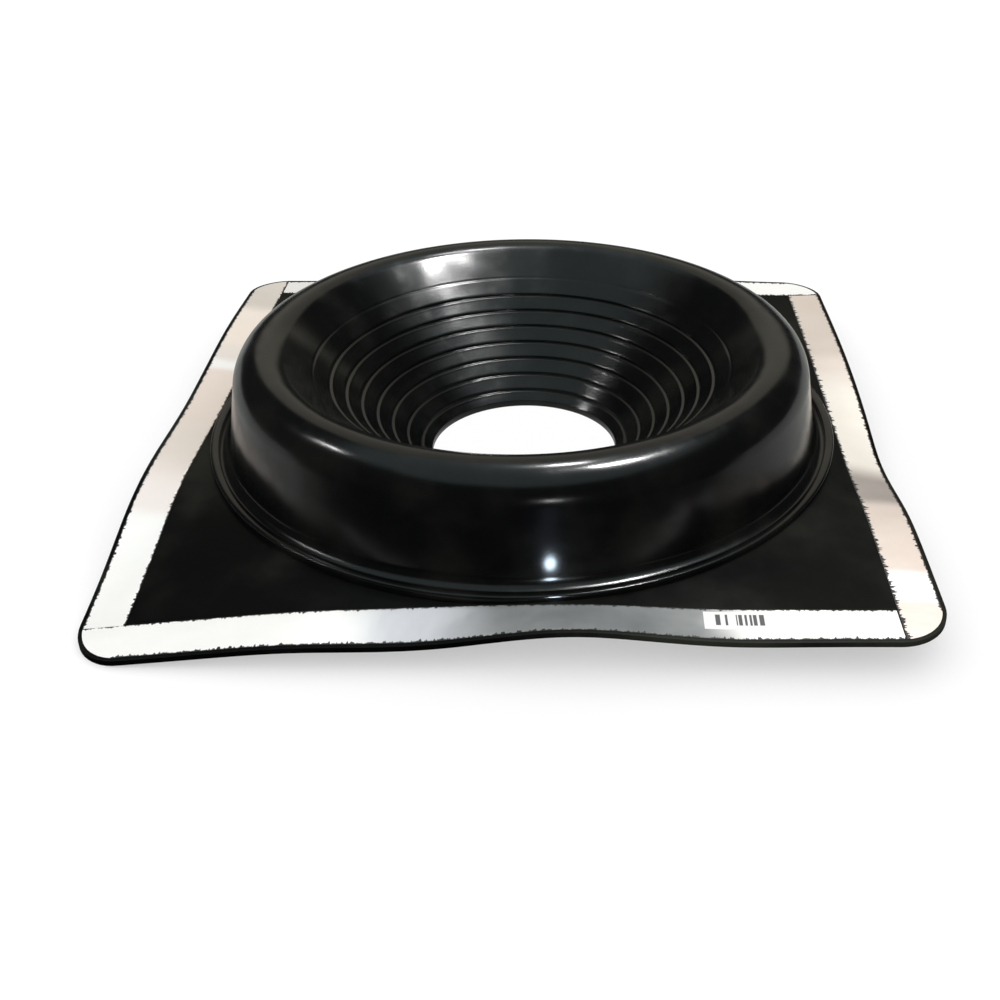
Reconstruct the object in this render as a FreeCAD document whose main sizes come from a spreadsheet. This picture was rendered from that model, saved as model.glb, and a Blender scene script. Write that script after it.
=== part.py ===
"""Rubber pipe flashing boot for a roof, with soft aluminium strips let into its flange.

Millimetres, +Z up. The origin is on the boot's axis at the level of the surface that it lies on.
The upstand and its inward cone are one revolved wall. The flange is a thin sheet that waves, so
its top and underside follow one height function. Flange and upstand are one moulding.
"""
import FreeCAD, Part
import math
import os

import Sketcher
from FreeCAD import Placement, Rotation, Vector

SIZES = {
    # flange
    "flange_side": 450.0,
    "flange_corner": 28.0,
    "flange_thickness": 3.0,
    "flange_height": 20.0,
    # upstand: foot bead, wall, rolled rim
    "bead_reach": 198.5,
    "bead_width": 6.0,
    "bead_height": 2.6,
    "bead_draft": 1.5,
    "bead_rise": 1.0,
    "root_overlap": 0.8,
    "root_drop": 0.3,
    "heel_radius": 7.0,
    "wall_thickness": 3.2,
    "crest_radius": 158.0,
    "crest_height": 85.5,
    "roll_outer": 22.0,
    "roll_inner": 16.0,
    # cone and pipe hole
    "hole_radius": 60.0,
    "lip_height": 4.0,
    "lip_width": 4.5,
    "groove_outer": 122.0,
    "groove_pitch": 9.15,
    "groove_depth": 1.5,
    "groove_clear": 0.8,
    # aluminium strips
    "strip_width": 23.0,
    "strip_thickness": 0.8,
    "strip_inset": 2.2,
    "strip_seam": 0.5,
    # stock label
    "label_length": 93.0,
    "label_width": 13.5,
    "label_thickness": 0.2,
    "label_start": 100.0,
    "label_inset": 9.5,
    "label_glue": 0.1,
}

GROOVES = 7

# Where the lower edge of the warped flange lies above the floor: place along each side, height.
# Each side is followed anticlockwise seen from above, from -1 at its first corner to +1.
EDGE_HEIGHTS = {
    "front": ((-1.00, 0.4), (-0.50, 10.0), (-0.18, 13.0), (0.15, 22.5), (0.44, 17.5), (0.71, 17.5)),
    "right": ((-1.00, 18.5), (-0.67, 21.0), (-0.44, 19.0), (-0.21, 11.5), (0.0, 16.5), (0.36, 24.0),
              (0.71, 24.0)),
    "back": ((-1.00, 23.0), (-0.33, 28.0), (0.33, 26.0)),
    "left": ((-1.00, 22.5), (-0.53, 26.0), (0.0, 21.5), (0.44, 21.0), (0.71, 8.0)),
}
SIDES = ("front", "right", "back", "left")

doc = FreeCAD.newDocument("flashing_boot")
sheet = doc.addObject("Spreadsheet::Sheet", "Sizes")
for row, (word, value) in enumerate(SIZES.items(), start=1):
    sheet.set("A%d" % row, word)
    sheet.set("B%d" % row, str(value))
    sheet.setAlias("B%d" % row, word)
doc.recompute()


def size(word):
    """The sheet's value under this alias."""
    return float(getattr(sheet, word))


def named(formula):
    """A formula on aliases, written for an expression on the sheet."""
    words = sorted(SIZES, key=len, reverse=True)
    out = ""
    rest = formula
    while rest:
        hit = next((word for word in words if rest.startswith(word)), None)
        out += "Sizes." + hit if hit else rest[0]
        rest = rest[len(hit):] if hit else rest[1:]
    return out


def origin_plane(body, role):
    return next(item for item in body.Origin.OriginFeatures if item.Role == role)


def new_sketch(body, name, role):
    """A sketch on one of the body's own origin planes."""
    sketch = body.newObject("Sketcher::SketchObject", name)
    sketch.AttachmentSupport = [(origin_plane(body, role), "")]
    sketch.MapMode = "FlatFace"
    return sketch


def bind(sketch, constraint, formula):
    """Add a driving constraint and tie it to the sheet."""
    index = sketch.addConstraint(constraint)
    sketch.setExpression("Constraints[%d]" % index, named(formula))


def pin(sketch, edge, end, across, up):
    """Hold one end of an edge at a place given by two formulas on the sheet."""
    place = sketch.getPoint(edge, end)
    for axis, formula, value in (("DistanceX", across, place.x), ("DistanceY", up, place.y)):
        bind(sketch, Sketcher.Constraint(axis, -1, 1, edge, end, value), formula)


START, END, CENTRE = 1, 2, 3


# ---------------------------------------------------------------- upstand and cone
def wall_profile(body):
    """Half section of the upstand: bead, heel, wall, rolled rim, cone, lip and their inside."""
    reach = size("bead_reach")
    inner = reach - size("bead_width")
    heel_r = size("heel_radius")
    wall = size("wall_thickness")
    crest_x = size("crest_radius")
    crest_z = size("crest_height")
    outer_r = size("roll_outer")
    inner_r = size("roll_inner")
    hole = size("hole_radius")
    lip = size("lip_height")
    lip_back = hole + size("lip_width")
    top = size("flange_height") + size("flange_thickness") + size("bead_rise")
    middle = size("flange_height") + size("flange_thickness") / 2
    base_z = size("flange_height") - size("root_drop")
    root_x = reach - size("bead_width") / 2 + size("root_overlap")

    wall_foot = Vector(inner - heel_r, top + heel_r, 0)
    outer_c = Vector(crest_x, crest_z - outer_r, 0)
    inner_c = Vector(crest_x, crest_z - inner_r, 0)
    chord = wall_foot - outer_c
    lean = math.atan2(chord.y, chord.x) + math.acos(outer_r / chord.Length)
    slope = cone_slope()
    out = Vector(math.cos(lean), math.sin(lean), 0)
    up = Vector(-math.sin(slope), math.cos(slope), 0)
    lip_top = Vector(hole, lip, 0)
    under_r = outer_r - wall
    half_lean = (lean + math.pi / 2) / 2
    under_mid = outer_c + Vector(math.cos(half_lean), math.sin(half_lean), 0) * under_r
    under_top = outer_c + Vector(0, under_r, 0)
    brow_foot = inner_c + up * (inner_r - wall)
    base_x = wall_foot.x - (wall - (base_z - wall_foot.y) * math.sin(lean)) / math.cos(lean)
    cone_under_z = lip + (lip_back - hole) * math.tan(slope) - wall / math.cos(slope)
    heel_c = Vector(inner, top + heel_r, 0)
    heel_mid = heel_c - Vector(heel_r, heel_r, 0) * math.sqrt(0.5)
    bead = [Vector(reach, middle, 0), Vector(reach, top, 0),
            Vector(reach - size("bead_draft"), top + size("bead_height"), 0),
            Vector(inner + size("bead_draft"), top + size("bead_height"), 0), Vector(inner, top, 0)]

    sketch = new_sketch(body, "wall_section", "XZ_Plane")

    def arc(centre, radius, first, last, guide=False):
        circle = Part.Circle(centre, Vector(0, 0, 1), radius)
        return sketch.addGeometry(Part.ArcOfCircle(circle, first, last), guide)

    def line(first, last):
        return sketch.addGeometry(Part.LineSegment(first, last), False)

    edge, bead_out, bead_top, bead_in = [line(*ends) for ends in zip(bead, bead[1:])]
    heel_low = line(bead[-1], heel_mid)
    heel_high = line(heel_mid, wall_foot)
    side = line(wall_foot, outer_c + out * outer_r)
    shoulder = arc(outer_c, outer_r, lean, math.pi / 2)
    brow = arc(inner_c, inner_r, math.pi / 2, math.pi / 2 + slope)
    cone = line(inner_c + up * inner_r, lip_top)
    lip_face = line(lip_top, Vector(hole, 0, 0))
    lip_foot = line(Vector(hole, 0, 0), Vector(lip_back, 0, 0))
    lip_rear = line(Vector(lip_back, 0, 0), Vector(lip_back, cone_under_z, 0))
    cone_under = line(Vector(lip_back, cone_under_z, 0), brow_foot)
    brow_under = line(brow_foot, under_top)
    roll_under = line(under_top, under_mid)
    shoulder_under = line(under_mid, outer_c + out * under_r)
    side_under = line(outer_c + out * under_r, Vector(base_x, base_z, 0))
    base = line(Vector(base_x, base_z, 0), Vector(root_x, base_z, 0))
    root = line(Vector(root_x, base_z, 0), bead[0])
    heel_guide = arc(heel_c, heel_r, math.pi, 1.5 * math.pi, guide=True)
    shoulder_guide = arc(outer_c, under_r, lean, math.pi / 2, guide=True)
    brow_guide = arc(inner_c, inner_r - wall, math.pi / 2, math.pi / 2 + slope, guide=True)

    round_trip = [edge, bead_out, bead_top, bead_in, heel_low, heel_high, side]
    return_trip = [cone, lip_face, lip_foot, lip_rear, cone_under, brow_under, roll_under,
                   shoulder_under, side_under, base, root, edge]
    joined = [(one, END, two, START) for trip in (round_trip, return_trip)
              for one, two in zip(trip, trip[1:])]
    joined += [
        (shoulder, END, brow, START), (brow, CENTRE, brow_guide, CENTRE),
        (shoulder, CENTRE, shoulder_guide, CENTRE), (brow_guide, START, shoulder_guide, END),
        (heel_guide, END, heel_low, START), (heel_guide, START, side, START),
        (roll_under, START, shoulder_guide, END),
    ]
    for ends in joined:
        sketch.addConstraint(Sketcher.Constraint("Coincident", *ends))
    for ends in ((side, END, shoulder, START), (brow, END, cone, START),
                 (cone_under, END, brow_guide, END), (side_under, START, shoulder_guide, START)):
        sketch.addConstraint(Sketcher.Constraint("Tangent", *ends))
    sketch.addConstraint(Sketcher.Constraint("Horizontal", heel_guide, CENTRE, heel_guide, START))
    for ends in ((heel_guide, CENTRE, heel_guide, END), (shoulder, CENTRE, shoulder, END),
                 (brow, CENTRE, brow, START), (brow_guide, CENTRE, brow_guide, START)):
        sketch.addConstraint(Sketcher.Constraint("Vertical", *ends))
    for item in (lip_face, lip_rear, edge):
        sketch.addConstraint(Sketcher.Constraint("Vertical", item))
    sketch.addConstraint(Sketcher.Constraint("Horizontal", base))
    for point, guide in ((heel_low, heel_guide), (roll_under, shoulder_guide)):
        sketch.addConstraint(Sketcher.Constraint("PointOnObject", point, END, guide))
    for pair in ((heel_low, heel_high), (roll_under, shoulder_under)):
        sketch.addConstraint(Sketcher.Constraint("Equal", *pair))
    sketch.addConstraint(Sketcher.Constraint("PointOnObject", lip_face, END, -1))
    sketch.addConstraint(Sketcher.Constraint("PointOnObject", lip_foot, END, -1))
    sketch.addConstraint(Sketcher.Constraint("Parallel", cone_under, cone))
    sketch.addConstraint(Sketcher.Constraint("Parallel", side_under, side))

    bead_foot = "flange_height + flange_thickness + bead_rise"
    pin(sketch, edge, END, "bead_reach", bead_foot)
    pin(sketch, bead_out, END, "bead_reach - bead_draft", bead_foot + " + bead_height")
    pin(sketch, bead_top, END, "bead_reach - bead_width + bead_draft", bead_foot + " + bead_height")
    pin(sketch, bead_in, END, "bead_reach - bead_width", bead_foot)
    pin(sketch, shoulder, CENTRE, "crest_radius", "crest_height - roll_outer")
    pin(sketch, cone, END, "hole_radius", "lip_height")
    bind(sketch, Sketcher.Constraint("Radius", heel_guide, heel_r), "heel_radius")
    bind(sketch, Sketcher.Constraint("Radius", shoulder, outer_r), "roll_outer")
    bind(sketch, Sketcher.Constraint("Radius", brow, inner_r), "roll_inner")
    bind(sketch, Sketcher.Constraint("Radius", brow_guide, inner_r - wall), "roll_inner - wall_thickness")
    bind(sketch, Sketcher.Constraint("DistanceX", lip_foot, START, lip_foot, END, size("lip_width")),
         "lip_width")
    pin(sketch, base, END, "bead_reach - bead_width / 2 + root_overlap", "flange_height - root_drop")
    bind(sketch, Sketcher.Constraint("DistanceY", -1, 1, edge, START, middle),
         "flange_height + flange_thickness / 2")
    return sketch


CONE_SLOPE = ("atan((crest_height - roll_inner - lip_height) / (crest_radius - hole_radius))"
              " + asin(roll_inner / sqrt((crest_radius - hole_radius)^2"
              " + (crest_height - roll_inner - lip_height)^2))")


def cone_slope():
    """Slope of the cone, which runs from the lip's top to touch the rolled rim from inside."""
    run = size("crest_radius") - size("hole_radius")
    rise = size("crest_height") - size("roll_inner") - size("lip_height")
    return math.atan2(rise, run) + math.asin(size("roll_inner") / math.hypot(run, rise))


def notch_sections(body):
    """One small three-sided notch for each cutting ring of the cone, a riser and a tread."""
    sketch = new_sketch(body, "ring_notches", "XZ_Plane")
    slope = cone_slope()
    depth = size("groove_depth")
    clear = size("groove_clear")
    for ring in range(GROOVES):
        x = size("groove_outer") - ring * size("groove_pitch")
        z = size("lip_height") + (x - size("hole_radius")) * math.tan(slope)
        corner = Vector(x, z - depth, 0)
        above = Vector(x, z + clear, 0)
        inside = Vector(x - (depth + clear) / math.tan(slope), z - depth, 0)
        riser = sketch.addGeometry(Part.LineSegment(corner, above), False)
        mouth = sketch.addGeometry(Part.LineSegment(above, inside), False)
        tread = sketch.addGeometry(Part.LineSegment(inside, corner), False)
        for ends in ((riser, END, mouth, START), (mouth, END, tread, START), (tread, END, riser, START)):
            sketch.addConstraint(Sketcher.Constraint("Coincident", *ends))
        sketch.addConstraint(Sketcher.Constraint("Vertical", riser))
        sketch.addConstraint(Sketcher.Constraint("Horizontal", tread))
        across = "groove_outer - %d * groove_pitch" % ring
        up = "lip_height - groove_depth + (%s - hole_radius) * tan(%s)" % (across, CONE_SLOPE)
        pin(sketch, riser, START, across, up)
        bind(sketch, Sketcher.Constraint("DistanceY", riser, START, riser, END, depth + clear),
             "groove_depth + groove_clear")
        bind(sketch, Sketcher.Constraint("DistanceX", tread, START, tread, END, corner.x - inside.x),
             "(groove_depth + groove_clear) / tan(%s)" % CONE_SLOPE)
    return sketch


upstand = doc.addObject("PartDesign::Body", "upstand")
section = wall_profile(upstand)
turned = upstand.newObject("PartDesign::Revolution", "turned_wall")
turned.Profile = section
turned.ReferenceAxis = (section, ["V_Axis"])
turned.Angle = 360
doc.recompute()
notches = notch_sections(upstand)
rings = upstand.newObject("PartDesign::Groove", "cutting_rings")
rings.Profile = notches
rings.ReferenceAxis = (notches, ["V_Axis"])
rings.Angle = 360
doc.recompute()


# ---------------------------------------------------------------- waving flange
def edge_rail():
    """Closed curve whose height is that of the flange's lower edge, by distance round the square.

    It is drawn over one turn, with a few stations of the next and the last turn so that it closes."""
    side = size("flange_side")
    points = []
    for number, name in enumerate(SIDES):
        for along, height in EDGE_HEIGHTS[name]:
            points.append(Vector((number + (along + 1) / 2) * side, 0, height))
    turn = Vector(4 * side, 0, 0)
    stations = [p - turn for p in points[-4:]] + points + [p + turn for p in points[:4]]
    rail = Part.BSplineCurve()
    rail.interpolate(Points=stations, Parameters=[p.x for p in stations])
    return rail


def height_on(bearing, rail):
    """Height of the flange's lower edge on this bearing from the axis, in degrees."""
    turn = (bearing + 135.0) % 360.0
    number = int(turn // 90.0)
    within = math.radians(turn - 90.0 * number - 45.0)
    return rail.value((number + (math.tan(within) + 1) / 2) * size("flange_side")).z


def closed_poles(place):
    """Poles of the smooth closed curve through place(bearing) at even bearings, and the curve."""
    bearings = [360.0 * step / BEARINGS for step in range(BEARINGS + 1)]
    curve = Part.BSplineCurve()
    curve.interpolate(Points=[place(angle) for angle in bearings[:-1]], PeriodicFlag=True,
                      Parameters=bearings)
    return curve.getPoles(), curve


BEARINGS = 40
# The sheet is drawn out to a rounded square of this power, this far past the flange's sides.
SQUARENESS = 16
EDGE_MARGIN = 6.0


def underside():
    """The flange's lower surface: straight lines fan out from the bead to the waving edge."""
    rail = edge_rail()
    inner = size("bead_reach") - size("bead_width") / 2
    half = size("flange_side") / 2

    def circle(bearing):
        angle = math.radians(bearing)
        return Vector(inner * math.cos(angle), inner * math.sin(angle), size("flange_height"))

    def far_edge(bearing):
        near = circle(bearing)
        way = Vector(near.x, near.y, 0) / inner
        square = (abs(way.x) ** SQUARENESS + abs(way.y) ** SQUARENESS) ** (1 / SQUARENESS)
        past = (half + EDGE_MARGIN - inner * square) / (half - inner * square)
        edge = way * (half / square) + Vector(0, 0, height_on(bearing, rail))
        return near + (edge - near) * past

    near_poles, ring = closed_poles(circle)
    far_poles, _ = closed_poles(far_edge)
    surface = Part.BSplineSurface()
    surface.buildFromPolesMultsKnots([near_poles, far_poles], (2, 2), ring.getMultiplicities(),
                                     (0.0, 1.0), ring.getKnots(), False, True, 1, ring.Degree)
    return surface.toShape()


UNDERSIDE = underside()


def wavy_layer(name, rise, thickness):
    """A sheet of this thickness whose underside is the flange's, raised by rise."""
    layer = doc.addObject("Part::Feature", name)
    layer.Shape = UNDERSIDE.translated(Vector(0, 0, rise)).extrude(Vector(0, 0, thickness))
    return layer


ALL_CORNERS = ((-1, -1), (1, -1), (1, 1), (-1, 1))


def block_outline(name, low_x, low_y, length, width, rounded, radius):
    """An upright block with this plan, some of its upright edges rounded, high enough to trim sheets.

    The plan is given by formulas on the sheet. rounded picks corners by the signs of x and y."""
    body = doc.addObject("PartDesign::Body", name)
    sketch = new_sketch(body, name + "_plan", "XY_Plane")
    first_guess = size("strip_width") / 2
    corners = [Vector(x * first_guess, y * first_guess, 0) for x, y in ALL_CORNERS]
    for first, last in zip(corners, corners[1:] + corners[:1]):
        sketch.addGeometry(Part.LineSegment(first, last), False)
    for item in range(4):
        sketch.addConstraint(Sketcher.Constraint("Coincident", item, END, (item + 1) % 4, START))
        sketch.addConstraint(Sketcher.Constraint(("Horizontal", "Vertical")[item % 2], item))
    pin(sketch, 0, START, low_x, low_y)
    bind(sketch, Sketcher.Constraint("DistanceX", 0, START, 0, END, 2 * first_guess), length)
    bind(sketch, Sketcher.Constraint("DistanceY", 1, START, 1, END, 2 * first_guess), width)
    pad = body.newObject("PartDesign::Pad", name + "_block")
    pad.Profile = sketch
    pad.Midplane = True
    pad.setExpression("Length", named("2 * crest_height"))
    doc.recompute()
    centre = pad.Shape.BoundBox.Center
    picked = []
    for number, edge in enumerate(pad.Shape.Edges, start=1):
        upright = abs(edge.Vertexes[0].Z - edge.Vertexes[1].Z) > 1
        place = edge.CenterOfMass - centre
        if upright and (math.copysign(1, place.x), math.copysign(1, place.y)) in rounded:
            picked.append("Edge%d" % number)
    if picked:
        fillet = body.newObject("PartDesign::Fillet", name + "_corners")
        fillet.Base = (pad, picked)
        fillet.Radius = size("flange_corner")
        fillet.setExpression("Radius", named(radius))
    doc.recompute()
    return body


def common(name, *shapes):
    both = doc.addObject("Part::MultiCommon", name)
    both.Shapes = list(shapes)
    return both


outline = block_outline("flange_outline", "-flange_side / 2", "-flange_side / 2", "flange_side",
                        "flange_side", ALL_CORNERS, "flange_corner")
sheet_layer = wavy_layer("flange_layer", 0, size("flange_thickness"))
trimmed = common("trimmed_flange", sheet_layer, outline)

# ---------------------------------------------------------------- aluminium strips in their rebate
strip_layer = wavy_layer("strip_layer", size("flange_thickness") - size("strip_thickness"),
                         size("strip_thickness"))
rebate_layer = wavy_layer("rebate_layer", size("flange_thickness") - size("strip_thickness"),
                          2 * size("flange_thickness"))
frame_outline = block_outline("strip_frame", "-flange_side / 2 + strip_inset",
                              "-flange_side / 2 + strip_inset", "flange_side - 2 * strip_inset",
                              "flange_side - 2 * strip_inset", ALL_CORNERS,
                              "flange_corner - strip_inset")
strips = []
rebates = []
for number, name in enumerate(SIDES):
    # Each strip takes the corner at its start and stops against the next strip, as a pinwheel.
    plan = block_outline("strip_plan_" + name, "-flange_side / 2 + strip_inset",
                         "-flange_side / 2 + strip_inset",
                         "flange_side - 2 * strip_inset - strip_width - strip_seam", "strip_width",
                         (), "")
    plan.Placement = Placement(Vector(0, 0, 0), Rotation(Vector(0, 0, 1), 90 * number))
    strips.append(common("edge_strip_" + name, strip_layer, frame_outline, plan))
    rebates.append(common("rebate_" + name, rebate_layer, frame_outline, plan))

all_rebates = doc.addObject("Part::Compound", "all_rebates")
all_rebates.Links = rebates
rebated = doc.addObject("Part::Cut", "rebated_flange")
rebated.Base = trimmed
rebated.Tool = all_rebates

boot = doc.addObject("Part::MultiFuse", "rubber_boot")
boot.Shapes = [rebated, upstand]

# ---------------------------------------------------------------- stock label on the front strip
label_layer = wavy_layer("label_layer", size("flange_thickness") + size("label_glue"),
                         size("label_thickness"))
label_plan = block_outline("label_outline", "label_start", "-flange_side / 2 + label_inset",
                           "label_length", "label_width", (), "")
label = common("stock_label", label_layer, label_plan)

# ---------------------------------------------------------------- check and write
doc.recompute()
nodes = [boot] + strips + [label]
for item in doc.Objects:
    if "Invalid" in item.State or "Error" in item.State:
        raise SystemExit("%s failed: %s" % (item.Name, item.State))
for node in nodes:
    if node.Shape.isNull() or not node.Shape.isValid() or len(node.Shape.Solids) != 1:
        raise SystemExit("%s is not one sound solid" % node.Label)

os.makedirs("parts", exist_ok=True)
for node in nodes:
    node.Shape.exportStep("parts/%s.step" % node.Label)
    box = node.Shape.BoundBox
    print("%-18s volume %9.1f  x %.1f %.1f  y %.1f %.1f  z %.2f %.2f" % (
        node.Label, node.Shape.Volume, box.XMin, box.XMax, box.YMin, box.YMax, box.ZMin, box.ZMax))
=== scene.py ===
# %% [markdown]
# # A rubber pipe flashing boot
# A roof flashing boot is a black rubber upstand with a ringed funnel in the middle. The installer
# cuts the funnel along one of its rings to suit the pipe. A thin flange spreads from its foot, and
# soft aluminium strips are let into the flange's edge so that it can be dressed down to the roof.
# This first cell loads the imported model. Its nodes give the overall size, and the waves that the
# flange and the strips are laid on.

# %% Load the model
import bpy
import math
from mathutils import Matrix, Vector


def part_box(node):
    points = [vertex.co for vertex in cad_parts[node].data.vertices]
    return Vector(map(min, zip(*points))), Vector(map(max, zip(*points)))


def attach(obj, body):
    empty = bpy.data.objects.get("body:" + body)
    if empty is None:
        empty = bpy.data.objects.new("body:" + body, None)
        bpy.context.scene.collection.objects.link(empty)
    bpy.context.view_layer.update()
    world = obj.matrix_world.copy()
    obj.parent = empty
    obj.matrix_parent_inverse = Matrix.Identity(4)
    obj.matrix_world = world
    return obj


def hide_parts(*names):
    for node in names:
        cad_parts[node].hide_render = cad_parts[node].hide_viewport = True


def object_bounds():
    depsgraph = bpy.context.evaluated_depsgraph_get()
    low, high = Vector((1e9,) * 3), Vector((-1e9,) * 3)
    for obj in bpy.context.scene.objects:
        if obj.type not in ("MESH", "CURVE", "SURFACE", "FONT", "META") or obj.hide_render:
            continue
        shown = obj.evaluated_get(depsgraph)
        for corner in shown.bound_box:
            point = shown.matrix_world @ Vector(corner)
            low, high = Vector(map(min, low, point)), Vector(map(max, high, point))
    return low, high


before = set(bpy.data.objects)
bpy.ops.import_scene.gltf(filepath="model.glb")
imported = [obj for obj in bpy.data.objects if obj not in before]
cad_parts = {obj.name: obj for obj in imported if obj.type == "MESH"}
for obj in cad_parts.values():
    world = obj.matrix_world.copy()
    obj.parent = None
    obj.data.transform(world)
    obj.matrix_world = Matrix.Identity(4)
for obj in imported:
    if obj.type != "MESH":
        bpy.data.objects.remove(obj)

CAD_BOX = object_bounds()
MM = 0.001
SIDES = ("front", "right", "back", "left")
low, high = (Vector(corner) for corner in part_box("rubber_boot"))
HALF = (high.x - low.x) / 2
CREST = high.z
print("flange side %.0f mm, crest %.1f mm above the floor" % (2 * HALF / MM, CREST / MM))

# %% [markdown]
# ## Camera
# The view is from in front, 0.8 m away, a little right of the middle and about 30 degrees down.
# TURN and DIP are in radians. The camera's axes are worked out from them, and a small lens shift
# moves the frame without a change of perspective.

# %% Camera
EYE = Vector((36.3, -715.1, 414.2)) * MM
TURN, DIP = -0.015, 0.517
ahead = Vector((math.sin(TURN) * math.cos(DIP), math.cos(TURN) * math.cos(DIP), -math.sin(DIP)))
right = Vector((math.cos(TURN), -math.sin(TURN), 0))
above = right.cross(ahead)
lens = bpy.data.cameras.new("view")
lens.sensor_width = 36.0
lens.lens = 45.0
lens.shift_x = -0.063
lens.shift_y = -0.061
camera = bpy.data.objects.new("view", lens)
bpy.context.scene.collection.objects.link(camera)
camera.matrix_world = Matrix.Translation(EYE) @ Matrix((right, above, -ahead)).transposed().to_4x4()
bpy.context.scene.camera = camera
print("camera", [round(value, 3) for value in EYE])

# %% [markdown]
# ## Helpers for modelling
# Blender's operators work on whatever is selected. So each piece starts with nothing selected,
# enters edit mode, and picks its faces in code by their place.

# %% Selecting and editing
def only(piece):
    """Leave just this piece selected and active."""
    bpy.ops.object.select_all(action="DESELECT")
    piece.select_set(True)
    bpy.context.view_layer.objects.active = piece


def new_plane(name, centre, length, width):
    """A flat rectangle, its place and size in its mesh."""
    bpy.ops.object.select_all(action="DESELECT")
    bpy.ops.mesh.primitive_plane_add(size=1, location=centre)
    piece = bpy.context.object
    piece.name = piece.data.name = name
    piece.scale = (length, width, 1)
    bpy.ops.object.transform_apply(location=True, rotation=True, scale=True)
    return piece


def pick_points(piece, test):
    """In edit mode, select just the points whose place passes the test."""
    bpy.ops.mesh.select_all(action="DESELECT")
    bpy.ops.object.mode_set(mode="OBJECT")
    for point in piece.data.vertices:
        point.select = test(point.co)
    bpy.ops.object.mode_set(mode="EDIT")


def finish_with(piece, kind, **settings):
    """Add a modifier with these settings and apply it."""
    only(piece)
    modifier = piece.modifiers.new(kind.lower(), kind)
    for word, value in settings.items():
        setattr(modifier, word, value)
    bpy.ops.object.modifier_apply(modifier=modifier.name)


def shade(piece):
    """Shade smooth, but keep each edge that bends by more than 50 degrees."""
    only(piece)
    bpy.ops.object.shade_smooth_by_angle(angle=math.radians(50))


def triangles(piece):
    piece.data.calc_loop_triangles()
    return len(piece.data.loop_triangles)


# %% [markdown]
# ## The upstand
# On the real boot the bead, wall, rolled rim, funnel and lip are one moulded skin, round about one
# axis. A half section spun round the axis is the natural way: the section is drawn point by point
# by extruding, its rounded stretches from an arc formula, and `spin` makes the turn.

# %% Half section of the upstand
# Millimetres. LEVEL is the flange's underside at the foot, and FOOT_TOP is where the bead starts.
BEAD_REACH = 198.5
BEAD_WIDTH = 6.0
BEAD_HEIGHT = 2.6
BEAD_ROUND = 1.6
LEVEL = 20.0
SHEET = 3.0
FOOT_TOP = 24.0
ROOT_DROP = 0.3
ROOT_OVERLAP = 0.8
HEEL = 7.0
WALL = 3.2
CREST_REACH = 158.0
ROLL_OUTER = 22.0
ROLL_INNER = 16.0
HOLE = 60.0
LIP = 4.0
LIP_WIDTH = 4.5
LIP_ROUND = 0.7
LIP_EDGE = 0.4
RING_OUTER = 122.0
RING_PITCH = 9.15
RING_DEPTH = 1.5
RINGS = 7
# A shallow line is scored round the funnel, outside the first ring.
SCORE = 131.5
SCORE_DEPTH = 0.2


def arc(centre, radius, start, stop, steps):
    """Points on an arc in the section's plane, angles in degrees from straight outwards."""
    angles = [math.radians(start + (stop - start) * step / steps) for step in range(steps + 1)]
    return [(centre[0] + radius * math.cos(angle), centre[1] + radius * math.sin(angle))
            for angle in angles]


crest = CREST / MM
shoulder_centre = (CREST_REACH, crest - ROLL_OUTER)
brow_centre = (CREST_REACH, crest - ROLL_INNER)
bead_inner = BEAD_REACH - BEAD_WIDTH
heel_centre = (bead_inner, FOOT_TOP + HEEL)
run, rise = bead_inner - HEEL - CREST_REACH, heel_centre[1] - shoulder_centre[1]
lean = math.degrees(math.atan2(rise, run) + math.acos(ROLL_OUTER / math.hypot(run, rise)))
run, rise = CREST_REACH - HOLE, crest - ROLL_INNER - LIP
slope = math.degrees(math.atan2(rise, run) + math.asin(ROLL_INNER / math.hypot(run, rise)))
grade = math.tan(math.radians(slope))
print("wall leans %.1f degrees, funnel slopes %.1f degrees" % (lean, slope))


def funnel_height(reach):
    return LIP + (reach - HOLE) * grade


def ring_step(reach):
    """One cutting ring, from outside in: a short riser, a tread and a small rounded lip."""
    tread = funnel_height(reach) - RING_DEPTH
    inside = reach - RING_DEPTH / grade
    return [
        (reach + 1.4, funnel_height(reach + 1.4)), (reach + 0.5, funnel_height(reach + 0.5)),
        (reach + 0.1, funnel_height(reach) - 0.05), (reach, funnel_height(reach) - 0.4),
        (reach, tread + 0.25), (reach - 0.25, tread), (inside + 0.45, tread + 0.02),
        (inside + 0.1, tread + 0.1), (inside - 0.35, funnel_height(inside - 0.35) + 0.14),
        (inside - 0.9, funnel_height(inside - 0.9) + 0.02),
        (inside - 1.6, funnel_height(inside - 1.6)),
    ]


bead_middle = FOOT_TOP + BEAD_HEIGHT - BEAD_ROUND
section = [(BEAD_REACH, LEVEL + SHEET / 2)]
section += arc((BEAD_REACH - BEAD_ROUND, bead_middle), BEAD_ROUND, 0, 70, 4)
section += arc((bead_inner + BEAD_ROUND, bead_middle), BEAD_ROUND, 110, 170, 3)
section += arc(heel_centre, HEEL, 268, 180 + lean, 12)
section += arc(shoulder_centre, ROLL_OUTER, lean, 90, 28)
section += arc(brow_centre, ROLL_INNER, 90 + 3, 90 + slope, 16)
section += [(SCORE + shift, funnel_height(SCORE + shift) - drop)
            for shift, drop in ((1.5, 0), (0.5, 0), (0, SCORE_DEPTH), (-0.4, 0), (-1.4, 0))]
for ring in range(RINGS):
    section += ring_step(RING_OUTER - ring * RING_PITCH)
section += arc((HOLE + LIP_ROUND, LIP - 0.1), LIP_ROUND, 90 + slope, 180, 4)
section += [(HOLE, LIP_EDGE), (HOLE + LIP_EDGE, 0), (HOLE + LIP_WIDTH - LIP_EDGE, 0),
            (HOLE + LIP_WIDTH, LIP_EDGE)]
under_start = LIP + LIP_WIDTH * grade - WALL / math.cos(math.radians(slope))
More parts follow.
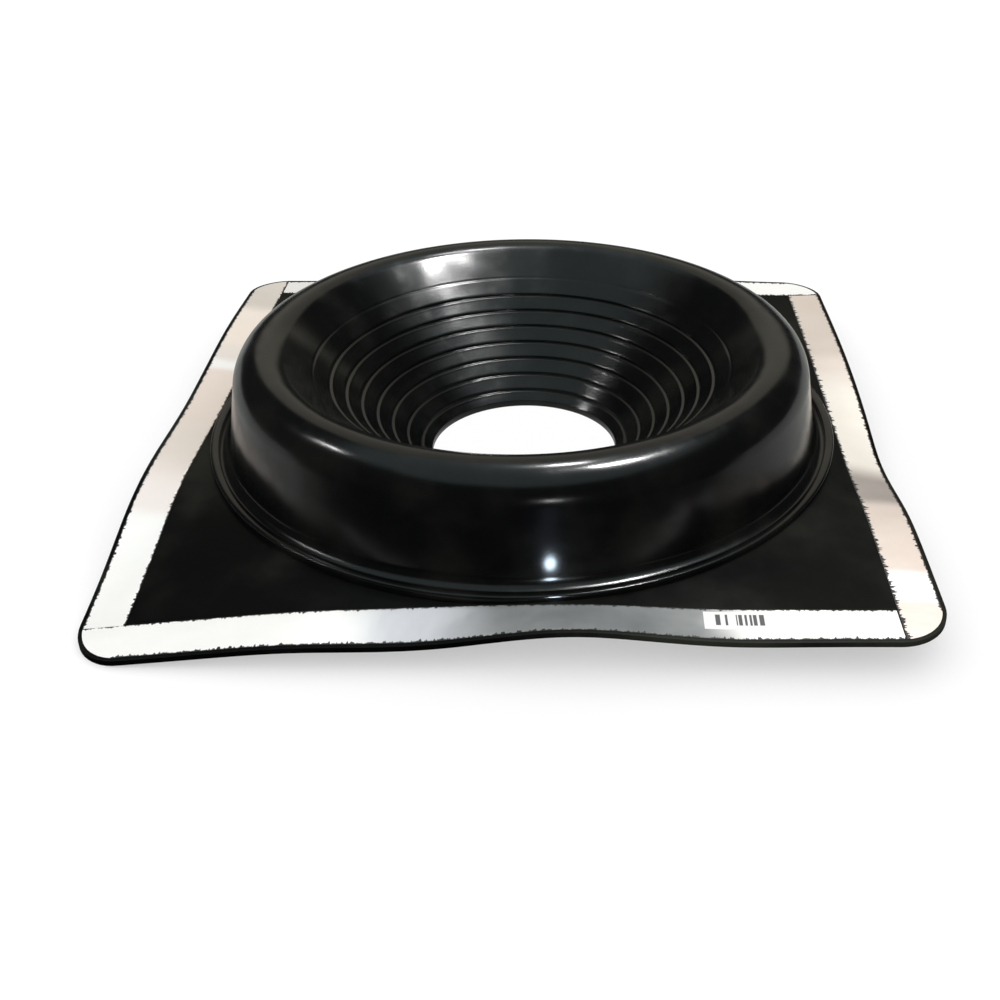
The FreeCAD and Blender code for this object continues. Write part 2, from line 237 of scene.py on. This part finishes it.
section += [(HOLE + LIP_WIDTH, under_start)]
section += arc(brow_centre, ROLL_INNER - WALL, 90 + slope, 90, 10)
section += arc(shoulder_centre, ROLL_OUTER - WALL, 88, lean, 18)
base = LEVEL - ROOT_DROP
inner_wall = shoulder_centre[0] + (ROLL_OUTER - WALL) * math.cos(math.radians(lean))
inner_drop = shoulder_centre[1] + (ROLL_OUTER - WALL) * math.sin(math.radians(lean)) - base
section += [(inner_wall + inner_drop * math.tan(math.radians(lean)), base),
            (BEAD_REACH - BEAD_WIDTH / 2 + ROOT_OVERLAP, base)]
print("section of", len(section), "points")

# %% [markdown]
# The drawing starts from one point, a plane merged to its centre. Each further point is an extrusion
# of the last. Closing the loop and spinning it in 256 steps gives a round skin with even quads.

# %% Spin the section into the upstand
SPIN_STEPS = 256
TOUCHING = 0.01 * MM


def spun(name, outline, steps):
    """Draw the outline point by point, close it and spin it round the axis."""
    piece = new_plane(name, (0, 0, 0), MM, MM)
    bpy.ops.object.mode_set(mode="EDIT")
    bpy.ops.mesh.select_all(action="SELECT")
    bpy.ops.mesh.merge(type="CENTER")
    spots = [Vector((reach, 0, height)) * MM for reach, height in outline]
    bpy.ops.transform.translate(value=spots[0])
    for last, spot in zip(spots, spots[1:]):
        bpy.ops.mesh.extrude_region_move(TRANSFORM_OT_translate={"value": spot - last})
    pick_points(piece, lambda co: min((co - spots[0]).length, (co - spots[-1]).length) < TOUCHING)
    bpy.ops.mesh.edge_face_add()
    bpy.ops.mesh.select_all(action="SELECT")
    bpy.ops.mesh.spin(steps=steps, angle=2 * math.pi, center=(0, 0, 0), axis=(0, 0, 1))
    bpy.ops.mesh.select_all(action="SELECT")
    bpy.ops.mesh.remove_doubles(threshold=TOUCHING)
    bpy.ops.mesh.normals_make_consistent(inside=False)
    bpy.ops.object.mode_set(mode="OBJECT")
    shade(piece)
    return piece


upstand = spun("boot_upstand", section, SPIN_STEPS)
print("upstand", triangles(upstand), "triangles")

# %% [markdown]
# ## The flange and the strips
# The flange and strips are flat sheets that have taken a wave. A flat plan with rounded corners is
# cut into small cells with `bisect`, and a Shrinkwrap modifier lays it on the model's own wave.
# An extrusion straight up or down then gives the sheet its thickness.

# %% Sheets that follow the wave
def plan_of(name, half, radius, low_corner, high_corner, start_height, cell):
    """A square with rounded corners, trimmed to a rectangle and cut into cells."""
    piece = new_plane(name, (0, 0, start_height), 2 * half, 2 * half)
    bpy.ops.object.mode_set(mode="EDIT")
    bpy.ops.mesh.select_all(action="SELECT")
    bpy.ops.mesh.bevel(affect="VERTICES", offset=radius, segments=14)
    for axis, way in ((0, (1, 0, 0)), (1, (0, 1, 0))):
        trims = ((low_corner, {"clear_inner": True}), (high_corner, {"clear_outer": True}))
        for corner, ends in trims:
            if abs(corner[axis]) < half:
                bpy.ops.mesh.select_all(action="SELECT")
                bpy.ops.mesh.bisect(plane_co=corner, plane_no=way, **ends)
        span = high_corner[axis] - low_corner[axis]
        count = max(2, round(span / cell))
        for step in range(1, count):
            place = low_corner.copy()
            place[axis] += span * step / count
            bpy.ops.mesh.select_all(action="SELECT")
            bpy.ops.mesh.bisect(plane_co=place, plane_no=way)
    bpy.ops.object.mode_set(mode="OBJECT")
    return piece


def lay_on(piece, node, from_below):
    """Move every point straight up or down onto the node, and ease the node's flat facets."""
    finish_with(piece, "SHRINKWRAP", target=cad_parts[node], wrap_method="PROJECT",
                use_project_z=True, use_positive_direction=from_below,
                use_negative_direction=not from_below)
    finish_with(piece, "SMOOTH", factor=0.5, iterations=3, use_x=False, use_y=False)


def thicken(piece, depth):
    """Pull the whole sheet straight up or down, so that its edge stays upright."""
    bpy.ops.object.mode_set(mode="EDIT")
    bpy.ops.mesh.select_all(action="SELECT")
    bpy.ops.mesh.extrude_region_move(TRANSFORM_OT_translate={"value": (0, 0, depth)})
    bpy.ops.mesh.select_all(action="SELECT")
    bpy.ops.mesh.normals_make_consistent(inside=False)
    bpy.ops.object.mode_set(mode="OBJECT")


# %% Flange
# The plan stops a hair inside the node's rim, because a point on the rim can miss the node.
HAIR = 0.15 * MM
CORNER = 28.0 * MM
CELL = 4 * MM
EDGE_ROUND = 0.5 * MM
OPENING = (BEAD_REACH - 2.5) * MM
ROUGH_OPENING = (BEAD_REACH - 9) * MM
flange = plan_of("boot_flange", HALF - HAIR, CORNER, low, high, low.z - 5 * MM, CELL)
bpy.ops.object.mode_set(mode="EDIT")
bpy.ops.mesh.select_all(action="DESELECT")
bpy.ops.object.mode_set(mode="OBJECT")
for face in flange.data.polygons:
    face.select = face.center.xy.length < ROUGH_OPENING
bpy.ops.object.mode_set(mode="EDIT")
bpy.ops.mesh.delete(type="FACE")
bpy.ops.object.mode_set(mode="OBJECT")
lay_on(flange, "rubber_boot", from_below=True)
thicken(flange, SHEET * MM)
bpy.ops.object.select_all(action="DESELECT")
bpy.ops.mesh.primitive_cylinder_add(vertices=SPIN_STEPS, radius=OPENING, depth=4 * CREST)
cutter = bpy.context.object
finish_with(flange, "BOOLEAN", operation="DIFFERENCE", object=cutter, solver="EXACT")
bpy.data.objects.remove(cutter)
finish_with(flange, "BEVEL", width=EDGE_ROUND, segments=2, limit_method="ANGLE",
            angle_limit=math.radians(60))
shade(flange)
print("flange", triangles(flange), "triangles, from", [round(v, 4) for v in flange.bound_box[0]])

# %% Strips
# The strips stand STRIP_TOP proud, so that the flange's cells don't show through them. The left
# strip's front end is drawn out by LAP, over the seam. GAP keeps a plan off its node's very edge.
STRIP_TOP = 0.2 * MM
STRIP_SKIN = 0.5 * MM
LAP = 0.9 * MM
END_BAND = 0.3 * MM
INSET = 2.2 * MM
GAP = Vector((0.08, 0.08, 0)) * MM
strips = {}
for side in SIDES:
    node = "edge_strip_" + side
    start, stop = (Vector(corner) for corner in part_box(node))
    strip = plan_of("strip_" + side, HALF - INSET - HAIR, CORNER - INSET, start + GAP, stop - GAP,
                    2 * CREST, CELL)
    lay_on(strip, node, from_below=False)
    bpy.ops.object.mode_set(mode="EDIT")
    bpy.ops.mesh.select_all(action="SELECT")
    bpy.ops.transform.translate(value=(0, 0, STRIP_TOP))
    if side == "left":
        pick_points(strip, lambda co: co.y < start.y + END_BAND)
        bpy.ops.transform.translate(value=(0, -LAP, 0))
    bpy.ops.object.mode_set(mode="OBJECT")
    thicken(strip, -STRIP_SKIN)
    shade(strip)
    strips[side] = strip
    print(strip.name, triangles(strip), "triangles")

# %% Stock label
PAPER = 0.15 * MM
start, stop = (Vector(corner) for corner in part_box("stock_label"))
label = plan_of("paper_label", HALF, CORNER, start + GAP, stop - GAP, 2 * CREST, 2 * MM)
lay_on(label, "stock_label", from_below=False)
thicken(label, -PAPER)
shade(label)
print("label", triangles(label), "triangles")

# %% [markdown]
# ## Every piece rides on the one body
# Nothing moves on this boot, so all pieces ride on the body called root. The upstand and flange
# together stand for the one rubber node.

# %% Ride and replace
dressed = [(upstand, "rubber_boot", "rubber"), (flange, "rubber_boot", "rubber"),
           (label, "stock_label", "label")]
dressed += [(strips[side], "edge_strip_" + side, "strip") for side in SIDES]
for piece, node, finish in dressed:
    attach(piece, "root")
    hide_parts(node)
print("pieces in place")

# %% [markdown]
# ## Writing shader maths as Python
# A material is a web of nodes. The small class below wraps one socket, so that an expression such
# as `1 - mask` adds the Math nodes that it needs. Colours go through a Mix node, because a Math node
# would turn them grey.

# %% A socket that does arithmetic
class Wire:
    def __init__(self, tree, socket):
        self.tree = tree
        self.socket = socket

    def maths(self, operation, *others):
        values = {0: self}
        values.update({place: other for place, other in enumerate(others, start=1)})
        return add_node(self.tree, "ShaderNodeMath", {"operation": operation}, values)

    def __add__(self, other):
        return self.maths("ADD", other)

    __radd__ = __add__

    def __mul__(self, other):
        return self.maths("MULTIPLY", other)

    def __sub__(self, other):
        return self.maths("SUBTRACT", other)

    def __rsub__(self, other):
        return (self * -1) + other

    def __truediv__(self, other):
        return self.maths("DIVIDE", other)

    def steps(self, start, stop):
        """0 below start, 1 above stop, and smooth between them."""
        return add_node(self.tree, "ShaderNodeMapRange", {"interpolation_type": "SMOOTHSTEP"},
                        {"Value": self, "From Min": start, "From Max": stop})


def add_node(tree, kind, settings, values, out=0):
    """A node of this kind, its settings made first, then its sockets filled or joined."""
    node = tree.nodes.new(kind)
    for word, value in settings.items():
        setattr(node, word, value)
    for place, value in values.items():
        if isinstance(value, Wire):
            tree.links.new(value.socket, node.inputs[place])
        else:
            node.inputs[place].default_value = value
    return Wire(tree, node.outputs[out])


def blend(tree, share, first, second):
    """A colour between two others. The colour sockets of a Mix node are 6 and 7."""
    return add_node(tree, "ShaderNodeMix", {"data_type": "RGBA"},
                    {0: share, 6: first, 7: second}, out=2)


def noise(tree, place, scale, detail=2.0):
    return add_node(tree, "ShaderNodeTexNoise", {}, {
        "Vector": place, "Scale": scale, "Detail": detail})


def ray(tree, kind):
    """1 where the light path that asks is of this kind, such as Camera or Glossy."""
    return add_node(tree, "ShaderNodeLightPath", {}, {}, out="Is %s Ray" % kind)


def start_material(name):
    material = bpy.data.materials.new(name)
    material.use_nodes = True
    tree = material.node_tree
    shader = tree.nodes["Principled BSDF"]
    place = add_node(tree, "ShaderNodeTexCoord", {}, {}, out="Object")
    return material, tree, shader, place


def feed(tree, shader, **wires):
    for socket, wire in wires.items():
        tree.links.new(wire.socket, shader.inputs[socket.replace("_", " ")])


def raised(tree, height, distance, strength=1.0, below=None):
    """A bump from this height, on top of another bump if one is given."""
    values = {"Strength": strength, "Distance": distance, "Height": height}
    if below:
        values["Normal"] = below
    return add_node(tree, "ShaderNodeBump", {}, values)


def axes(tree, place):
    """The three coordinates of a place, unscaled."""
    return [add_node(tree, "ShaderNodeSeparateXYZ", {}, {0: place}, out=axis) for axis in range(3)]


def plan_place(tree, place):
    """The x and y of a place, in millimetres."""
    return [part * 1000.0 for part in axes(tree, place)[:2]]


def dress(piece, material):
    piece.data.materials.clear()
    piece.data.materials.append(material)


# %% [markdown]
# ## Moulded rubber
# EPDM rubber comes from a polished mould: black, glossy, and slightly uneven where it shrank. Broad
# shallow waves bend the reflections, a fine peel softens them, and a faint bloom of dust lightens
# and dulls the surface in patches.

# %% Rubber
rubber, tree, shader, place = start_material("moulded_rubber")
bloom = noise(tree, place, 22.0, detail=5.0).steps(0.42, 0.75)
smears = noise(tree, place, 70.0, detail=4.0).steps(0.5, 0.72)
black = blend(tree, bloom, (0.002, 0.0022, 0.0022, 1), (0.007, 0.0075, 0.006, 1))
shrink = noise(tree, place, 28.0, detail=1.0)
peel = noise(tree, place, 900.0, detail=2.0)
bump = raised(tree, shrink, 1.2 * MM, strength=0.5)
bump = raised(tree, peel, 0.02 * MM, strength=0.6, below=bump)
feed(tree, shader, Base_Color=black, Roughness=0.17 + bloom * 0.07 + smears * 0.05, Normal=bump)
shader.inputs["Specular IOR Level"].default_value = 0.3
dress(upstand, rubber)
print("rubber on", upstand.name)

# %% [markdown]
# The flange is the same rubber, but sheet from a plain plate of the mould is duller. It also picks up
# more dust than the upright wall, so it has its own roughness and a lower shine.

# %% Sheet rubber
sheet, tree, shader, place = start_material("sheet_rubber")
dust = noise(tree, place, 11.0, detail=6.0).steps(0.45, 0.72)
scuffs = noise(tree, place, 120.0, detail=4.0).steps(0.55, 0.75)
black = blend(tree, dust, (0.001, 0.0011, 0.001, 1), (0.018, 0.020, 0.014, 1))
bump = raised(tree, noise(tree, place, 35.0, detail=2.0), 0.8 * MM, strength=0.5)
bump = raised(tree, noise(tree, place, 700.0, detail=3.0), 0.04 * MM, strength=0.6, below=bump)
feed(tree, shader, Base_Color=black, Roughness=0.42 + dust * 0.1 + scuffs * 0.08, Normal=bump)
shader.inputs["Specular IOR Level"].default_value = 0.05
dress(flange, sheet)
print("sheet rubber on", flange.name)

# %% [markdown]
# ## Aluminium strips
# The strips are soft sheet aluminium with a brushed, slightly dull face. Rubber flashed over their
# edges in the mould, so the edges look nibbled. A distance from each long edge is compared with a
# noise, and where the noise wins the finish is rubber.
#
# The strips lie in gentle bends that catch the light in turn, and the front strip's middle mirrors the
# boot's black front wall. A level light doesn't draw those, so they are painted: painted highlights
# and painted shade along each strip, and a painted reflection of the wall on the front strip. TONES
# holds each strip's first tone, then for each change where it starts and where it stops along the
# strip, in millimetres, and the tone after it.

# %% Aluminium with flashed edges
WHITE = (0.97, 0.97, 0.94, 1)
CREAM = (0.99, 0.93, 0.83, 1)
BEIGE = (0.84, 0.72, 0.64, 1)
GREY = (0.34, 0.29, 0.25, 1)
# DARK is a painted reflection of the boot's black front wall, used in the front strip's middle.
DARK = (0.10, 0.12, 0.125, 1)
TONES = {
    # The front strip's blue-grey and dark middle are a painted reflection of the black front wall.
    "front": ((0, 0, WHITE), (-95, -55, (0.50, 0.52, 0.56, 1)), (-50, 5, DARK), (95, 132, WHITE)),
    "right": ((0, 0, BEIGE), (-195, -190, WHITE), (-170, -163, (0.74, 0.62, 0.54, 1)),
              (-104, -92, GREY), (-70, -45, CREAM), (30, 80, BEIGE), (80, 100, (0.68, 0.58, 0.50, 1))),
    "back": ((0, 0, (0.78, 0.77, 0.74, 1)), (100, 165, WHITE)),
    "left": ((0, 0, WHITE), (-120, -108, (0.90, 0.83, 0.79, 1)), (-90, -50, (0.80, 0.72, 0.64, 1)),
             (-40, 10, BEIGE), (58, 66, WHITE), (68, 80, (0.80, 0.73, 0.67, 1)),
             (80, 110, (0.90, 0.80, 0.70, 1)), (155, 175, (0.66, 0.60, 0.53, 1))),
}


def bite(tree, distance, along, seed, size):
    """1 where the metal is bare, 0 where rubber has crept over this edge, up to size mm."""
    teeth, torn, chips = (add_node(tree, "ShaderNodeTexNoise", {"noise_dimensions": "1D"},
                                   {"W": along * rate + seed, "Detail": detail, "Roughness": 0.65})
                          for rate, detail in ((0.10, 1.0), (0.035, 2.0), (0.24, 0.0)))
    reach = teeth.steps(0.36, 0.72) * torn.steps(0.34, 0.60) * 0.7 + torn.steps(0.3, 0.7) * 0.2
    reach = reach + chips.steps(0.30, 0.75) * 0.3
    return (distance - reach * size).steps(0.05, 0.3)


def strip_finish(side, bite_in, bite_out):
    """Finish of one strip, bite_in and bite_out being how far the rubber reaches over, in mm."""
    tones = TONES[side]
    metal, tree, shader, place = start_material("aluminium_" + side)
    x, y = plan_place(tree, place)
    start, stop = (Vector(corner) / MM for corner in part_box("edge_strip_" + side))
    runs_along_x = side in ("front", "back")
    across, along = (y, x) if runs_along_x else (x, y)
    axis = 1 if runs_along_x else 0
    inner, outer = start[axis], stop[axis]
    if side in ("front", "left"):
        inner, outer = outer, inner
    from_inner = (inner - across).maths("ABSOLUTE")
    from_outer = (outer - across).maths("ABSOLUTE")
    bare = bite(tree, from_inner, along, 3.0, bite_in) * bite(tree, from_outer, along, 7.0, bite_out)
    stretch = (0.5, 22, 1) if runs_along_x else (22, 0.5, 1)
    lines = add_node(tree, "ShaderNodeMapping", {}, {"Vector": place, "Scale": stretch})
    grain = noise(tree, lines, 60.0, detail=3.0)
    clouds = noise(tree, place, 30.0, detail=4.0)
    bend = along + (noise(tree, place, 25.0) - 0.5) * 8.0 + (across - inner) * 0.06
    tone = add_node(tree, "ShaderNodeRGB", {}, {})
    tone.socket.default_value = tones[0][2]
    # Painted light: each tone change along the strip is a painted highlight or painted shade at a
    # bend, and on the front strip a painted reflection of the wall.
    for start_at, stop_at, next_tone in tones[1:]:
        tone = blend(tree, bend.steps(start_at, stop_at), tone, next_tone)
    bare_colour = blend(tree, clouds * 0.3, tone, (0.78, 0.75, 0.72, 1))
    colour = blend(tree, bare, (0.008, 0.008, 0.008, 1), bare_colour)
    dents = noise(tree, place, 45.0, detail=2.0)
    bump = raised(tree, dents, 1.5 * MM, strength=0.35)
    bump = raised(tree, grain, 0.03 * MM, strength=0.5, below=bump)
    bump = raised(tree, bare, 0.25 * MM, strength=0.6, below=bump)
    feed(tree, shader, Base_Color=colour, Metallic=bare * 0.25,
         Roughness=0.34 + clouds * 0.16 - grain * 0.05, Normal=bump)
    return metal


# How far the rubber reaches over each strip's inner and outer edge, in millimetres.
BITES = {"front": (1.4, 1.9), "right": (3.0, 1.6), "back": (2.4, 2.0), "left": (1.5, 1.4)}
for side in SIDES:
    dress(strips[side], strip_finish(side, *BITES[side]))
    print("aluminium on", strips[side].name)

# %% [markdown]
# ## Stock label
# A narrow paper label lies on the front strip. It carries no words, only a short block of plain
# bars. Each BAR along the label gets a random value, and is inked where that is high enough.

# %% Paper label
BAR = 0.62
BARS_START, BARS_STOP = 5, 31
BARS_LOW, BARS_HIGH = 3.2, 2.2
paper, tree, shader, place = start_material("label_paper")
x, y = plan_place(tree, place)
start, stop = (Vector(corner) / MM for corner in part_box("stock_label"))
cell = (x / BAR).maths("FLOOR")
chance = add_node(tree, "ShaderNodeTexWhiteNoise", {"noise_dimensions": "1D"}, {"W": cell})
ink = chance.maths("GREATER_THAN", 0.48)
ink = ink * x.maths("GREATER_THAN", start.x + BARS_START) * x.maths("LESS_THAN", start.x + BARS_STOP)
ink = ink * y.maths("GREATER_THAN", start.y + BARS_LOW) * y.maths("LESS_THAN", stop.y - BARS_HIGH)
soft = noise(tree, place, 60.0)
white = blend(tree, soft, (0.92, 0.91, 0.88, 1), (0.84, 0.83, 0.80, 1))
feed(tree, shader, Base_Color=blend(tree, ink, white, (0.05, 0.05, 0.055, 1)),
     Roughness=0.45 + soft * 0.1, Normal=raised(tree, noise(tree, place, 400.0), 0.02 * MM))
dress(label, paper)
print("paper on", label.name)

# %% [markdown]
# ## Floor
# The boot lies on a white floor. To the camera the floor is partly its own white, so that it stays
# pale while it keeps the boot's soft shadow, and inside the hole it is nearly all white.
# Reflections see another floor: pale behind and dark in front, with a narrow bluish streak that the
# front wall mirrors as an upright glint. From below the floor is clear.

# %% Floor
# Millimetres in plan: where reflections turn from dark to pale, then the streak's middle and lean.
DARK_END, PALE_START = -230, -120
STREAK_X, STREAK_Y, STREAK_LEAN = 20, -190, 0.21
STREAK_CORE, STREAK_EDGE = 5, 24
bpy.ops.object.select_all(action="DESELECT")
bpy.ops.mesh.primitive_plane_add(size=12, location=(0, 0, CAD_BOX[0][2]))
floor = bpy.context.object
floor.name = "floor"
floor_white = bpy.data.materials.new("floor_white")
floor_white.use_nodes = True
tree = floor_white.node_tree
tree.nodes.clear()
place = add_node(tree, "ShaderNodeTexCoord", {}, {}, out="Object")
x, y = plan_place(tree, place)
from_streak = (x - STREAK_X + (y - STREAK_Y) * STREAK_LEAN).maths("ABSOLUTE")
streak = 1 - from_streak.steps(STREAK_CORE, STREAK_EDGE)
seen = blend(tree, streak, (0.01, 0.01, 0.012, 1), (0.30, 0.34, 0.50, 1))
seen = blend(tree, y.steps(DARK_END, PALE_START), seen, (0.50, 0.52, 0.50, 1))
matt = add_node(tree, "ShaderNodeBsdfDiffuse", {}, {"Color": (0.92, 0.92, 0.92, 1)})
glow = add_node(tree, "ShaderNodeEmission", {}, {"Color": (1, 1, 1, 1), "Strength": 1.0})
mirror = add_node(tree, "ShaderNodeEmission", {}, {"Color": seen, "Strength": 1.0})
in_hole = 1 - (x * x + y * y).maths("SQRT").steps(HOLE + 2, HOLE + 6)
white_share = ray(tree, "Camera") * (0.45 + in_hole * 0.53)
lit = add_node(tree, "ShaderNodeMixShader", {}, {0: white_share, 1: matt, 2: glow})
lit = add_node(tree, "ShaderNodeMixShader", {}, {0: ray(tree, "Glossy"), 1: lit, 2: mirror})
from_below = add_node(tree, "ShaderNodeNewGeometry", {}, {}, out="Backfacing")
clear = add_node(tree, "ShaderNodeBsdfTransparent", {}, {})
lit = add_node(tree, "ShaderNodeMixShader", {}, {0: from_below, 1: lit, 2: clear})
output = tree.nodes.new("ShaderNodeOutputMaterial")
tree.links.new(lit.socket, output.inputs["Surface"])
dress(floor, floor_white)
print("floor at height", round(CAD_BOX[0][2], 4))

# %% [markdown]
# ## World and lamps
# Matt surfaces get a plain level light from all round. Reflections see a room instead: a pale
# ceiling, a warm wall behind and dark sides. The lamps too show only in reflections, where they
# draw the separate glints on the roll, the funnel and the front wall. The spark lamp is 8 mm wide
# and sits just over the front strip. It stands in for light that the bent strip throws on the foot
# of the front wall.

# %% World
world = bpy.data.worlds.new("room")
bpy.context.scene.world = world
world.use_nodes = True
tree = world.node_tree
tree.nodes.clear()
way = add_node(tree, "ShaderNodeTexCoord", {}, {}, out="Generated")
x, y, z = axes(tree, way)
level = (x * x + y * y).maths("SQRT") + 0.001
wall = (y / level).steps(0.84, 0.90) * z.steps(0.22, 0.34)
ceiling = z.steps(0.72, 0.86)
room = blend(tree, wall, (0.03, 0.03, 0.03, 1), (0.60, 0.57, 0.48, 1))
room = blend(tree, ceiling, room, (0.62, 0.76, 0.79, 1))
colour = blend(tree, ray(tree, "Glossy"), (1.22, 1.22, 1.22, 1), room)
colour = blend(tree, ray(tree, "Camera"), colour, (1, 1, 1, 1))
sky = add_node(tree, "ShaderNodeBackground", {}, {"Color": colour, "Strength": 1.0})
output = tree.nodes.new("ShaderNodeOutputWorld")
tree.links.new(sky.socket, output.inputs["Surface"])
print("world set")


# %% Lamps
LAMP_DISTANCE = 1.3


def lamp(name, place, turn, size, power, colour=(1.0, 1.0, 1.0)):
    """An oval lamp that only reflections see, its width and length in metres."""
    light = bpy.data.lights.new(name, "AREA")
    light.shape = "ELLIPSE"
    light.size, light.size_y = size
    light.energy = power
    light.color = colour
    item = bpy.data.objects.new(name, light)
    bpy.context.scene.collection.objects.link(item)
    item.location = place
    item.rotation_euler = turn
    item.visible_camera = False
    item.visible_diffuse = False
    print(name, [round(value, 3) for value in item.location])


def room_lamp(name, bearing, height, size, power):
    """A far lamp that faces the boot. Bearing 0 is behind the boot, 90 to its right, in degrees."""
    flat = math.cos(math.radians(height))
    way = Vector((math.sin(math.radians(bearing)) * flat, math.cos(math.radians(bearing)) * flat,
                  math.sin(math.radians(height))))
    lamp(name, way * LAMP_DISTANCE + Vector((0, 0, CREST / 2)),
         way.to_track_quat("Z", "Y").to_euler(), size, power)


room_lamp("right_lamp", 77, 72, (0.08, 0.22), 21.0)
room_lamp("ceiling_lamp", 16, 71, (0.09, 0.05), 5.0)
room_lamp("left_lamp", -87, 45, (0.06, 0.03), 1.7)
room_lamp("viewer_lamp", 168, 11, (0.05, 0.12), 0.8)
lamp("spark_lamp", (0.026, -0.206, 0.0315), (math.radians(-90), 0, math.radians(180)),
     (0.008, 0.007), 0.010, colour=(0.7, 0.86, 1.0))

# %% [markdown]
# ## Sizes
# The model's box is printed.

# %% Print the model's box and finish
bpy.context.scene.view_settings.view_transform = "Standard"
bpy.context.view_layer.update()
print("model", [[round(v, 4) for v in corner] for corner in CAD_BOX])
